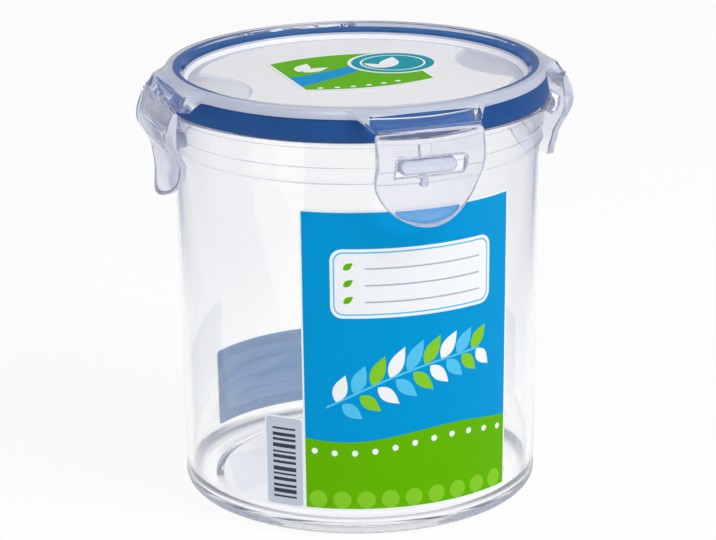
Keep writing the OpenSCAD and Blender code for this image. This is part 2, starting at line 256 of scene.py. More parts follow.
def plainMesh(thing):
    # what the modifiers make becomes the object's own mesh
    made = bpy.data.meshes.new_from_object(thing.evaluated_get(bpy.context.evaluated_depsgraph_get()))
    thing.modifiers.clear()
    old, thing.data = thing.data, made
    bpy.data.meshes.remove(old)
    return thing


def bakeTree(name, tree, values):
    thing = bpy.data.objects.new(name, bpy.data.meshes.new(name))
    scene.collection.objects.link(thing)
    modifier = thing.modifiers.new("build", "NODES")
    modifier.node_group = tree
    for item in tree.interface.items_tree:
        if item.in_out == "INPUT":
            modifier[item.identifier] = values[item.name]
    return plainMesh(thing)


def newTree(name, **inputs):
    tree = bpy.data.node_groups.new(name, "GeometryNodeTree")
    for key, kind in inputs.items():
        tree.interface.new_socket(name=key, in_out="INPUT", socket_type="NodeSocket" + kind)
    tree.interface.new_socket(name="Geometry", in_out="OUTPUT", socket_type="NodeSocketGeometry")
    return tree, addNode(tree, "NodeGroupInput").outputs


def endTree(tree, geometry, material):
    real = addNode(tree, "GeometryNodeRealizeInstances", {"Geometry": geometry})
    coat = addNode(tree, "GeometryNodeSetMaterial", {"Geometry": real.outputs[0], "Material": material})
    addNode(tree, "NodeGroupOutput", {"Geometry": coat.outputs[0]})


def cappedTube(name, loops, sharp=38):
    # closed loops of points, joined one to the next, with a flat cap at each end
    count = len(loops[0])
    points = [p for loop in loops for p in loop]
    faces = [tuple(range(count)), tuple(range(len(points) - 1, len(points) - count - 1, -1))]
    for i in range(len(loops) - 1):
        near, far = i * count, (i + 1) * count
        faces += [(near + k, far + k, far + (k + 1) % count, near + (k + 1) % count) for k in range(count)]
    return tidyMesh(meshObject(name, points, faces), sharp)


def latheTree():
    # a grid whose rows are the profile's points and whose columns go round the axis
    tree, given = newTree("lathe", Profile="Object", Points="Int", Columns="Int", Material="Material")
    profile = addNode(tree, "GeometryNodeObjectInfo", {"Object": given["Profile"]}).outputs["Geometry"]
    grid = addNode(tree, "GeometryNodeMeshGrid", {"Vertices X": given["Points"], "Vertices Y": given["Columns"]})
    index = addNode(tree, "GeometryNodeInputIndex").outputs[0]
    share = addNode(tree, "ShaderNodeMath", {0: index, 1: given["Columns"]}, operation="DIVIDE").outputs[0]
    row = addNode(tree, "ShaderNodeMath", {0: share}, operation="FLOOR").outputs[0]
    column = addNode(tree, "ShaderNodeMath", {0: index, 1: given["Columns"]}, operation="MODULO").outputs[0]
    last = addNode(tree, "ShaderNodeMath", {0: given["Columns"], 1: 1.0}, operation="SUBTRACT").outputs[0]
    part = addNode(tree, "ShaderNodeMath", {0: column, 1: last}, operation="DIVIDE").outputs[0]
    angle = addNode(tree, "ShaderNodeMath", {0: part, 1: 2 * math.pi}, operation="MULTIPLY").outputs[0]
    place = addNode(tree, "GeometryNodeInputPosition").outputs[0]
    point = addNode(tree, "GeometryNodeSampleIndex", {"Geometry": profile, "Value": place, "Index": row},
                    data_type="FLOAT_VECTOR", domain="POINT").outputs[0]
    swung = addNode(tree, "ShaderNodeVectorRotate", {"Vector": point, "Angle": angle}, rotation_type="Z_AXIS")
    moved = addNode(tree, "GeometryNodeSetPosition", {
        "Geometry": grid.outputs["Mesh"], "Position": swung.outputs[0]})
    joined = addNode(tree, "GeometryNodeMergeByDistance", {"Geometry": moved.outputs[0], "Distance": 0.002 * mm})
    endTree(tree, joined.outputs[0], given["Material"])
    return tree


def turnTree():
    # copies of one shape, evenly spaced about the axis from a first turn
    tree, given = newTree("turnAbout", Shape="Object", Count="Int", Turn="Float", Material="Material")
    shape = addNode(tree, "GeometryNodeObjectInfo", {"Object": given["Shape"]}, transform_space="ORIGINAL")
    spots = addNode(tree, "GeometryNodePoints", {"Count": given["Count"], "Position": (0.0, 0.0, 0.0)})
    index = addNode(tree, "GeometryNodeInputIndex").outputs[0]
    step = addNode(tree, "ShaderNodeMath", {0: 2 * math.pi, 1: given["Count"]}, operation="DIVIDE").outputs[0]
    angle = addNode(tree, "ShaderNodeMath", {0: index, 1: step, 2: given["Turn"]}, operation="MULTIPLY_ADD")
    spin = addNode(tree, "ShaderNodeCombineXYZ", {"Z": angle.outputs[0]}).outputs[0]
    placed = addNode(tree, "GeometryNodeInstanceOnPoints", {
        "Points": spots.outputs[0], "Instance": shape.outputs["Geometry"], "Rotation": spin})
    endTree(tree, placed.outputs[0], given["Material"])
    return tree


lathe, turnAbout = latheTree(), turnTree()


def turned(name, path, columns, material):
    # a piece of revolution from a profile of distance and height
    profile = meshObject(name + "Profile", [(0, -r, z) for r, z in path], [])
    thing = bakeTree(name, lathe, {"Profile": profile, "Points": len(path), "Columns": columns, "Material": material})
    bpy.data.objects.remove(profile)
    return tidyMesh(thing)


def faceCoat(thing, material, chosen):
    # the faces whose middle passes the test take another material; the test gets the radius and height in mm,
    # and the degrees from the nearest flap
    thing.data.materials.append(material)
    for face in thing.data.polygons:
        x, y, z = face.center / mm
        if chosen(math.hypot(x, y), z, abs((math.degrees(math.atan2(x, -y)) + 45) % 90 - 45)):
            face.material_index = len(thing.data.materials) - 1


def putOn(thing, body, slot, *nodes):
    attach(thing, body)
    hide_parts(*nodes)


# Container: one turned shell with four moulded lugs joined to its collar
canister = {
    "baseR": 48.74, "bodyR": 50.0, "baseRound": 5.0, "footIn": 40.8, "footBevel": 2.2, "recess": 0.8, "floorZ": 3.0,
    "innerBaseR": 47.15, "innerRound": 4.2, "nubRow": 95.0, "collarZ": 98.4, "collarR": 51.0, "bandZ": 103.2,
    "bandR": 51.3, "flangeZ": 108.7, "flangeR": 53.2, "rimZ": 110.1, "beadR": 50.275, "beadW": 1.2, "beadH": 0.9,
    "mouthR": 48.4, "columns": 289,
}
lugSizes = {
    "faceW": 15.6, "rootW": 16.4, "faceD": 56.1, "rootD": 49.4, "low": 101.7, "high": 105.7, "round": 1.9,
    "edge": 1.3, "edgeRows": 5, "sunk": 1.2, "ribW": 3.4, "ribD": 52.3, "ribTop": 108.8, "nubW": 2.0, "nubD": 51.8,
    "nubLow": 97.7,
}


def canisterProfile():
    c = canister
    beadIn, beadOut, beadTop = c["beadR"] - c["beadW"] / 2, c["beadR"] + c["beadW"] / 2, c["rimZ"] + c["beadH"]
    nubRowR = c["baseR"] + (c["bodyR"] - c["baseR"]) * c["nubRow"] / c["collarZ"]  # keeps lug cuts off the tall wall
    return roundedPath([
        (0, c["recess"], 0), (c["footIn"] - c["footBevel"], c["recess"], 1.0), (c["footIn"], 0, 0.6),
        (c["baseR"], 0, c["baseRound"]), (nubRowR, c["nubRow"], 0), (c["bodyR"], c["collarZ"], 0.3),
        (c["collarR"], c["collarZ"] + 0.5, 0.3), (c["collarR"], c["bandZ"] - 0.3, 0.3), (c["bandR"], c["bandZ"], 0.3),
        (c["bandR"], c["flangeZ"], 0.35), (c["flangeR"], c["flangeZ"], 0.35), (c["flangeR"], c["rimZ"], 0.35),
        (beadOut, c["rimZ"], 0.25), (beadOut, beadTop, 0.55), (beadIn, beadTop, 0.55), (beadIn, c["rimZ"], 0.25),
        (c["mouthR"], c["rimZ"], 0.6), (c["mouthR"], c["collarZ"], 0),
        (c["innerBaseR"], c["floorZ"], c["innerRound"]), (0, c["floorZ"], 0)], 7)


def rectLoop(halfW, low, high, radius, steps=4, x=0):
    return roundedPath([(x - halfW, low, radius), (x + halfW, low, radius), (x + halfW, high, radius),
                        (x - halfW, high, radius)], steps)


def loftedBar(name, sections):
    # sections hold a distance out from the axis and a closed loop across it
    return cappedTube(name, [[(x, -d, z) for x, z in loop] for d, loop in sections])


def lugShape():
    s = lugSizes
    edge = s["edge"]
    slope = (s["rootW"] - s["faceW"]) / 2 / (s["faceD"] - s["rootD"])
    sections = []
    for a in np.linspace(0, math.pi / 2, s["edgeRows"]):  # the face's rounded edge
        inset = edge * (1 - math.sin(a))
        d = s["faceD"] - edge * (1 - math.cos(a))
        halfW = s["faceW"] / 2 + (s["faceD"] - d) * slope - inset
        sections.append((d, rectLoop(halfW, s["low"] + inset, s["high"] - inset, s["round"])))
    sections.append((s["rootD"], rectLoop(s["rootW"] / 2, s["low"], s["high"], s["round"])))
    lug = loftedBar("lugBar", sections)
    halfW, low = s["ribW"] / 2, s["high"] - s["sunk"]
    rib = loftedBar("lugRib", [
        (s["ribD"], rectLoop(halfW - 0.2, low, s["ribTop"], 0.2)),
        (s["ribD"] - 0.2, rectLoop(halfW, low, s["ribTop"], 0.2)),
        (s["rootD"], rectLoop(halfW + 0.1, low, s["ribTop"], 0.2))])
    halfW, high = s["nubW"] / 2, s["low"] + s["sunk"]
    nub = loftedBar("lugNub", [
        (s["nubD"], rectLoop(halfW - 0.3, s["nubLow"] + 0.3, high, 0.4)),
        (s["nubD"] - 0.3, rectLoop(halfW, s["nubLow"], high, 0.5)),
        (s["rootD"], rectLoop(halfW + 0.1, s["nubLow"], high, 0.5))])
    return [lug, rib, nub]


def joinShapes(thing, others):
    for other in others:
        cut = thing.modifiers.new("join", "BOOLEAN")
        cut.operation, cut.solver, cut.object = "UNION", "EXACT", other
    plainMesh(thing)
    for other in others:
        bpy.data.objects.remove(other)
    return tidyMesh(thing)


containerPiece = turned("containerShell", canisterProfile(), canister["columns"], plastics["clearCopolyester"])
lugRings = []
for shape in lugShape():
    lugRings.append(bakeTree(shape.name + "Ring", turnAbout, {
        "Shape": shape, "Count": 4, "Turn": 0.0, "Material": plastics["clearCopolyester"]}))
    bpy.data.objects.remove(shape)
joinShapes(containerPiece, lugRings)
faceCoat(containerPiece, plastics["satinCopolyester"],  # the lugs: satin, with painted shade in their lavender-grey tint
         lambda r, z, phi: r > canister["bandR"] + 0.1 and z < canister["flangeZ"] - 1)
putOn(containerPiece, "container_body", "container_plastic", "container")
print("container:", len(containerPiece.data.polygons), "faces")


# Seal: a ring with a bulged skirt outside and a groove for the rim's bead underneath
gasket = {
    "inR": 47.97, "topR": 51.2, "bulge": 1.3, "low": 110.13, "shelf": 116.0, "crownR": 50.83, "high": 116.93,
    "foot": 0.6, "skirtTo": 0.93, "skirtRows": 14, "grooveIn": 49.375, "grooveOut": 51.175, "grooveTop": 111.3,
    "underTab": (15.3, 112.8), "columns": 257,
}


def gasketProfile():
    g = gasket
    skirtLow = g["low"] + g["foot"]
    skirt = [(g["topR"] + g["bulge"] * math.cos(t * math.pi / 2), skirtLow + (g["shelf"] - skirtLow) * t)
             for t in np.linspace(0, g["skirtTo"], g["skirtRows"])]
    path = roundedPath([
        (g["inR"], g["low"], 0.25), (g["grooveIn"], g["low"], 0.15), (g["grooveIn"], g["grooveTop"], 0.2),
        (g["grooveOut"], g["grooveTop"], 0.2), (g["grooveOut"], g["low"], 0.15),
        (g["topR"] + g["bulge"] - 0.1, g["low"], 0.3)] + [(r, z, 0) for r, z in skirt] + [
        (g["topR"], g["shelf"], 0.2), (g["crownR"], g["shelf"], 0.1), (g["crownR"], g["high"], 0.2),
        (g["inR"], g["high"], 0.2)], 4)
    return path + path[:1]


sealPiece = turned("sealRing", gasketProfile(), gasket["columns"], rubbers["siliconeRubber"])
faceCoat(sealPiece, rubbers["wettedSilicone"],  # painted light: a brighter blue inside, on top and behind the tabs
         lambda r, z, phi: r < gasket["inR"] + 0.1 or z > gasket["shelf"] + 0.1 or
         phi < gasket["underTab"][0] and z > gasket["underTab"][1])
putOn(sealPiece, "lid_body", "silicone", "seal_ring")
print("seal:", len(sealPiece.data.polygons), "faces")


# Lid: its section changes round the axis, from a plain lip to a tab that slopes down to each hinge
lidSizes = {
    "top": 118.85, "panelZ": 114.85, "panelUnder": 113.25, "panelEdge": 44.5, "panelR": 45.95, "plainR": 30.0,
    "reliefR": (30.6, 44.4, 0.32), "plateauR": 43.55, "plateauH": 0.5, "stepW": 0.8, "lobeX": 53.45, "lobeR": 22.0,
    "wallFoot": (46.58, 115.95), "wallMid": (46.9, 116.5), "lipInR": 48.25, "crestR": 49.7, "lidR": 51.7,
    "lipZ": (118.1, 117.4, 116.8), "shelfR": 51.2, "grooveZ": 116.05, "grooveR": 50.8, "grooveTop": 116.9,
    "plugR": 48.0, "plugInR": 46.4, "plugZ": 108.5, "tabTopR": 51.9, "bend": (53.1, 117.75), "nose": (55.2, 114.5),
    "chin": (54.5, 113.4), "tabClear": 53.0, "tabLow": 112.7, "tabCorner": 14.9, "tabClearTo": 17.22,
    "gussetEnd": 23.6, "tabColumns": 18, "gussetColumns": 16, "lipColumns": 24,
}
# where the frosted faces begin and end: heights, and how fast the tab's own falls beyond its corner
lidMist = {"lip": 112.0, "tab": 117.1, "fall": 0.6, "crest": 118.35, "plateau": 115.34, "under": 113.45}


def panelTop(x, y):
    s = lidSizes
    inside = s["plateauR"] - math.hypot(x, y)
    for side in (-1, 1):
        inside = min(inside, math.hypot(x - side * s["lobeX"], y) - s["lobeR"])
    t = min(max(inside / s["stepW"], 0), 1)
    return s["panelZ"] + s["plateauH"] * t * t * (3 - 2 * t)


def lidSection(phi):
    s = lidSizes
    t = min(max((abs(phi) - s["tabCorner"]) / (s["gussetEnd"] - s["tabCorner"]), 0), 1)
    w = (1 - t) ** 2.2  # 1 along the tab, 0 on the plain lip
    low = max((w - 0.22) / 0.78, 0) ** 0.8
    slant = 1 / math.cos(math.radians(min(abs(phi), s["gussetEnd"])))

    def between(plain, tab, share):
        return plain + (tab - plain) * share

    return roundedPath([
        (s["panelEdge"], s["panelZ"], 0), (s["panelR"], s["panelZ"], 2.0), (*s["wallFoot"], 0), (*s["wallMid"], 0),
        (s["lipInR"], s["top"], 0.6), (s["crestR"], between(s["top"], s["top"] - 0.04, w), 0),
        (between(s["lidR"], s["tabTopR"], w), between(s["top"], s["top"] - 0.1, w), 0.5),
        (between(s["lidR"], s["bend"][0] * slant, w), between(s["lipZ"][0], s["bend"][1], w), 0.9),
        (between(s["lidR"], s["nose"][0] * slant, w), between(s["lipZ"][1], s["nose"][1], w), 0.3),
        (between(s["lidR"], s["chin"][0] * slant, w), between(s["lipZ"][2], s["chin"][1], low), 0.3),
        (between(s["lidR"], s["tabClear"], w ** 0.75), between(s["grooveZ"], s["tabLow"], low), 0.2),
        (between(s["shelfR"], s["tabClear"], w ** 0.75), s["grooveZ"], 0.15), (s["grooveR"], s["grooveZ"], 0.1),
        (s["grooveR"], s["grooveTop"], 0.15), (s["plugR"], s["grooveTop"], 0.15), (s["plugR"], s["plugZ"], 0.5),
        (s["plugInR"], s["plugZ"], 0.4), (s["plugInR"], s["panelUnder"], 0.8), (0, s["panelUnder"], 0)], 4)


def lidAngles():
    s = lidSizes
    half = np.concatenate([
        np.linspace(0, s["tabCorner"], s["tabColumns"])[:-1],
        np.linspace(s["tabCorner"], s["gussetEnd"], s["gussetColumns"])[:-1],
        np.linspace(s["gussetEnd"], 45, s["lipColumns"])[:-1]])
    eighth = np.concatenate([half, 90 - half[::-1][:-1], [45.0]])
    return sorted({round(q * 90 + a, 6) for q in range(4) for a in eighth if a < 90})


def lidMesh():
    inner = np.concatenate([np.linspace(0, lidSizes["plainR"], 8), np.arange(*lidSizes["reliefR"])])
    columns = []
    for angle in lidAngles():
        phi = (angle + 45) % 90 - 45
        a = math.radians(angle)
        section = [(r, panelTop(r * math.sin(a), -r * math.cos(a))) for r in inner] + lidSection(phi)
        columns.append([(r * math.sin(a), -r * math.cos(a), z) for r, z in section])
    return tidyMesh(ringMesh("lidShell", np.array(columns).transpose(1, 0, 2), False))


def lidFrosted(r, z, phi):
    # the lip's crest and outside, the tabs' bend, and the recess
    s, m = lidSizes, lidMist
    lipZ = m["tab"] - m["fall"] * max(phi - s["tabCorner"], 0) if phi < s["tabClearTo"] else m["lip"]
    crest, outside = z > m["crest"] and r > s["crestR"], r > s["grooveR"] + 0.1 and z > lipZ
    return crest or outside or r < s["plugR"] - 0.1 and m["under"] < z < s["wallMid"][1]


def lidSatin(r, z, phi):
    # the foot of the recess wall, and the panel's plateau
    s, m = lidSizes, lidMist
    recess = r < s["plugR"] - 0.1 and m["under"] < z < s["wallFoot"][1]
    return recess and (r > s["panelR"] - 0.3 or z > m["plateau"])


lidPiece = lidMesh()
lidPiece.data.materials.append(plastics["polishedPolypropylene"])
faceCoat(lidPiece, plastics["frostedPolypropylene"], lidFrosted)
faceCoat(lidPiece, plastics["satinPolypropylene"], lidSatin)
putOn(lidPiece, "lid_body", "lid_plastic", "lid")
print("lid:", len(lidPiece.data.polygons), "faces")


flapSharp = 60  # degrees at which the edges of flaps and films stay sharp

# Flaps: an S-shaped tongue with a slot, rounded on every edge; loops run from the slot out to the outline
flapSizes = {
    "halfW": 14.8, "low": 87.9, "top": 113.35, "cornerR": 0.9, "slotHalfW": 9.4, "slotLow": 101.4, "slotHigh": 106.7,
    "slotRound": 0.8, "tongueIn": 52.4, "tongueT": 1.9, "sweepLow": 97.0, "sweepHigh": 105.1, "shoulderZ": 106.6,
    "shoulderIn": 55.3, "shoulderOut": 58.18, "neckIn": 54.8, "neckOut": 56.2, "edge": 0.55,
    "lipFlare": 3.0, "lipH": 6.6, "bowlPoints": 97, "spokes": 150, "edgeRows": 5, "faceRows": 16, "edgeTilt": 0.6,
    "slotRim": 0.6,
}


def easeStep(t):
    return (1 - np.cos(np.pi * np.clip(t, 0, 1))) / 2


def flapFaces(z):
    # distances of the inner and outer face from the axis, at a height
    f = flapSizes
    tongueOut = f["tongueIn"] + f["tongueT"]
    rise = np.clip((z - f["shoulderZ"]) / (f["top"] - f["shoulderZ"]), 0, 1)
    swept = easeStep((z - f["sweepLow"]) / (f["sweepHigh"] - f["sweepLow"]))
    inner = f["tongueIn"] + (f["shoulderIn"] - f["tongueIn"]) * swept
    inner = inner + (f["neckIn"] - f["shoulderIn"]) * easeStep(rise)
    swept = easeStep((z - f["sweepLow"]) / (f["shoulderZ"] - f["sweepLow"]))
    neck = f["neckOut"] + (f["shoulderOut"] - f["neckOut"]) * np.cos(np.pi / 2 * rise)
    outer = np.where(z > f["shoulderZ"], neck, tongueOut + (f["shoulderOut"] - tongueOut) * swept)
    lean = f["lipFlare"] * np.clip(1 - (z - f["low"]) / f["lipH"], 0, 1) ** 2  # the finger lip's flare
    return inner + lean, outer + lean


def flapMesh():
    f = flapSizes
    centre = np.array([0, (f["slotLow"] + f["slotHigh"]) / 2])
    slot = np.array(rectLoop(f["slotHalfW"], f["slotLow"], f["slotHigh"], f["slotRound"], 6)) - centre
    middle = f["low"] + f["halfW"]
    bowl = [(f["halfW"] * math.cos(a), middle + f["halfW"] * math.sin(a))
            for a in np.linspace(-math.pi, 0, f["bowlPoints"])]
    crown = roundedPath([
        (f["halfW"], middle, 0), (f["halfW"], f["top"], f["cornerR"]), (-f["halfW"], f["top"], f["cornerR"]),
        (-f["halfW"], middle, 0)], 6)
    outline = np.array(bowl + crown[1:-1]) - centre

    def reachAt(loop, angles):
        fine = np.concatenate([loop[[k]] + (loop[[(k + 1) % len(loop)]] - loop[[k]]) * np.linspace(0, 1, 24)[:, None]
                               for k in range(len(loop))])
        turn = np.arctan2(fine[:, 1], fine[:, 0])
        order = np.argsort(turn)
        return np.interp(angles, turn[order], np.hypot(fine[:, 0], fine[:, 1])[order], period=2 * math.pi)

    corners = [np.arctan2(p[1], p[0]) for p in slot] + [np.arctan2(p[1], p[0]) for p in outline if p[1] > 6]
    angles = np.sort(np.concatenate([np.linspace(-math.pi, math.pi, f["spokes"], endpoint=False), corners]))
    angles = angles[np.concatenate([[True], np.diff(angles) > 0.004])]
    near, far = reachAt(slot, angles), reachAt(outline, angles)
    heading = np.stack([np.cos(angles), np.sin(angles)], 1)
    e, edgeRows, faceRows = f["edge"], f["edgeRows"], f["faceRows"]
    arc = np.linspace(0, math.pi / 2, edgeRows)
    inset, drop = e * (1 - np.sin(arc)), e * (1 - np.cos(arc))  # round an edge, from the face to the rim
    reaches = [near + cut for cut in inset[::-1]]
    reaches += [near + e + (far - near - 2 * e) * (k + 1) / (faceRows + 1) for k in range(faceRows)]
    reaches += [far - cut for cut in inset]
    drops = [*drop[::-1], *[0] * faceRows, *drop]
    rows = []
    for side in (1, -1):
        spread = []
        for reach, sunk in zip(reaches, drops):
            flat = centre + heading * reach[:, None]
            inner, outer = flapFaces(flat[:, 1])
            half = (outer - inner) / 2 - np.minimum(sunk, (outer - inner) / 2 - 0.05)
            spread.append(np.stack([flat[:, 0], -((outer + inner) / 2 + side * half), flat[:, 1]], 1))
        rows += spread if side == 1 else spread[::-1]
    return tidyMesh(ringMesh("flapShape", np.array(rows), True), flapSharp)


# Hinge films: a flexed bead with a fin into the tab and a fin into the flap
filmSizes = {
    "d": 55.5, "z": 113.9, "beadR": 0.52, "finR": 0.7, "finSpread": 27, "halfL": 14.4, "toTab": 160, "toFlap": 270,
    "around": 40,
}


def filmMesh():
    s = filmSizes
    loop = []
    for angle in np.linspace(0, 360, s["around"], endpoint=False):
        near = min(abs((angle - fin + 180) % 360 - 180) for fin in (s["toTab"], s["toFlap"]))
        r = s["beadR"] + (s["finR"] - s["beadR"]) * max(0, 1 - (near / s["finSpread"]) ** 2)
        loop.append((r * math.cos(math.radians(angle)), r * math.sin(math.radians(angle))))
    taper = [(0, 0.4), (0.1, 0.75), (0.3, 1)]  # how far in from an end, and the share of the full size there
    ends = [(inset - s["halfL"], size) for inset, size in taper]
    ends += [(s["halfL"] - inset, size) for inset, size in taper[::-1]]
    loops = [[(x, -(s["d"] + d * size), s["z"] + z * size) for d, z in loop] for x, size in ends]
    return cappedTube("filmShape", loops, flapSharp)


def filmEnds(degrees):
    # the fins' roots, on the tab and on the flap, in metres
    s, turn, ends = filmSizes, math.radians(degrees), []
    for fin in (math.radians(s["toTab"]), math.radians(s["toFlap"])):
        d, z = s["d"] + s["beadR"] * math.cos(fin), s["z"] + s["beadR"] * math.sin(fin)
        ends.append((d * mm * math.sin(turn), -d * mm * math.cos(turn), z * mm))
    return ends


def edgeCoat(thing, degrees):
    # the faces along a flap's outline come off an etched mould edge and are satin; those round its slot aren't
    f, turn = flapSizes, math.radians(degrees)
    out, along = Vector((math.sin(turn), -math.cos(turn), 0)), Vector((math.cos(turn), math.sin(turn), 0))
    thing.data.materials.append(plastics["edgePolypropylene"])
    for face in thing.data.polygons:
        z, rim = face.center.z / mm, f["slotRim"]
        inSlot = f["slotLow"] - rim < z < f["slotHigh"] + rim and abs(face.center @ along) / mm < f["slotHalfW"] + rim
        if abs(face.normal @ out) < f["edgeTilt"] and not inSlot:
            face.material_index = len(thing.data.materials) - 1


flapShape, filmShape = flapMesh(), filmMesh()
for side, degrees in turns.items():
    values = {"Count": 1, "Turn": math.radians(degrees), "Material": plastics["clarifiedPolypropylene"]}
    flapPiece = tidyMesh(bakeTree("flap" + side.title(), turnAbout, {"Shape": flapShape, **values}), flapSharp)
    edgeCoat(flapPiece, degrees)
    putOn(flapPiece, side + "_flap", "lid_plastic", "flap_" + side)
    filmPiece = tidyMesh(bakeTree("film" + side.title(), turnAbout, {"Shape": filmShape, **values}), flapSharp)
    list(filmEnds(degrees))
    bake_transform(filmPiece)  # its placing is baked into its mesh
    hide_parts("hinge_film_" + side)
bpy.data.objects.remove(flapShape)
bpy.data.objects.remove(filmShape)
print("flaps and films: 4 of each")


def disc(x, y, radius, count=36):
    turn = np.linspace(0, 2 * math.pi, count, endpoint=False)
    return [(x + radius * math.cos(a), y + radius * math.sin(a)) for a in turn]


def block(x, y, w, h, radius=0.0):
    return rectLoop(w / 2, y - h / 2, y + h / 2, radius, 5, x)


def leaf(x, y, length, width, degrees):
    # two bowed sides that meet in a point at each end
    side = [(t * length, width / 2 * math.sin(math.pi * t ** 0.8)) for t in np.linspace(0, 1, 13)]
    loop = side + [(a, -b) for a, b in side[-2:0:-1]]
    c, s = math.cos(math.radians(degrees)), math.sin(math.radians(degrees))
    return [(x + a * c - b * s, y + a * s + b * c) for a, b in loop]


def printSheet(name, layers, given, place):
    # layers of ink over a film outline, cut into one flat map and then laid on its surface
    outline = np.concatenate(layers[0][1])
    low, high = outline.min(0), outline.max(0)
    flats, owner = [], []
    edges = np.linspace(low[0] - 0.1, high[0] + 0.1, max(2, int((high[0] - low[0]) / given["strip"]) + 1))
    for a, b in zip(edges[:-1], edges[1:]):
        flats.append([(a, low[1] - 0.1), (b, low[1] - 0.1), (b, high[1] + 0.1), (a, high[1] + 0.1)])
        owner.append(None)
    for ink, shapes in layers:
        for shape in shapes:
            area = sum(a[0] * b[1] - b[0] * a[1] for a, b in zip(shape, shape[1:] + shape[:1]))
            flats.append(shape if area > 0 else shape[::-1])
            owner.append(ink)
    points, loops = [], []
    for flat in flats:
        loops.append(list(range(len(points), len(points) + len(flat))))
        points += [Vector(p) for p in flat]
    spots, _, cells, _, _, origins = delaunay_2d_cdt(points, [], loops, 0, 1e-5)
    filmIndex = [i for i, ink in enumerate(owner) if ink == layers[0][0]]
    kept, colours = [], []
    names = list(dict.fromkeys(ink for ink, _ in layers)) + list(glueLook)
    for cell, origin in zip(cells, origins):
        if any(i in origin for i in filmIndex):
            kept.append(list(cell))
            colours.append(names.index(owner[max(origin)]))
    count = len(spots)
    verts = [place(p.x, p.y, lift) for lift in (given["thickness"], 0) for p in spots]
    faces = kept + [[count + i for i in reversed(cell)] for cell in kept]
    colours += [names.index("glueOverFilm" if names[c] == "whiteFilm" else "glueOverInk") for c in colours]
    border = dict.fromkeys((a, b) for cell in kept for a, b in zip(cell, cell[1:] + cell[:1]))
    rim = [(a, b) for a, b in border if (b, a) not in border]
    faces += [[a, count + a, count + b, b] for a, b in rim]
    colours += [0] * len(rim)
    thing = meshObject(name, verts, faces)
    for ink in names:
        thing.data.materials.append(inks[ink])
    thing.data.polygons.foreach_set("material_index", colours)
    return tidyMesh(thing, 40, False)


wallPlace = {"radius": 50.0, "lowR": 48.8, "draft": 1.2, "low": 5.0, "high": 98.4, "glue": 0.05}


def onWall(around):
    # a distance round the wall from a turn, and a height, on the drafted body
    def place(s, z, lift):
        w = wallPlace
        a = math.radians(around) + s / w["radius"]
        r = w["lowR"] + w["draft"] * (z - w["low"]) / (w["high"] - w["low"]) + w["glue"] + lift
        return (r * math.sin(a), -r * math.cos(a), z)
    return place


# Front label: two fields of ink with a writing panel, a sprig and a dotted wave, and a striped side tab
frontPrint = {
    "left": -32.5, "right": 28.9, "low": 7.8, "high": 91.4, "border": 0.5, "round": 1.2, "waveZ": 28.8, "waveH": 1.5,
    "waveL": 61.4, "waveShift": 6, "tabLeft": -43.9, "tabHigh": 33.4, "tabInset": 0.8, "tuck": 2, "thickness": 0.12,
    "strip": 2.2,
}
sprig = {
    "x": -26, "z": 37, "run": 44, "climb": 13, "bow": 3, "stalk": 0.3, "pairs": 9, "longest": 9.5, "taper": 4,
    "upperW": 3.9, "lowerW": 3.6,
}
writingPanel = {
    "x": -1.5, "z": 71.5, "w": 46, "h": 19, "rings": ((0, 3.2), (1.6, 2.6), (2.4, 2.3)), "rows": (75.6, 71.0, 66.4),
    "ruleX": 1.2, "ruleW": 33, "ruleH": 0.45, "markX": -21,
}
stripes = {"count": 13, "from": 2.4, "w": 6.8, "heights": (0.55, 1.15, 0.75, 0.95), "gaps": (0.75, 0.6, 0.95)}


def waveAt(s):
    p = frontPrint
    return p["waveZ"] + p["waveH"] * math.sin((s + p["waveShift"]) / p["waveL"] * 2 * math.pi)


def sprigAt(t):
    g = sprig
    return g["x"] + g["run"] * t, g["z"] + g["climb"] * t + g["bow"] * math.sin(math.pi * t)


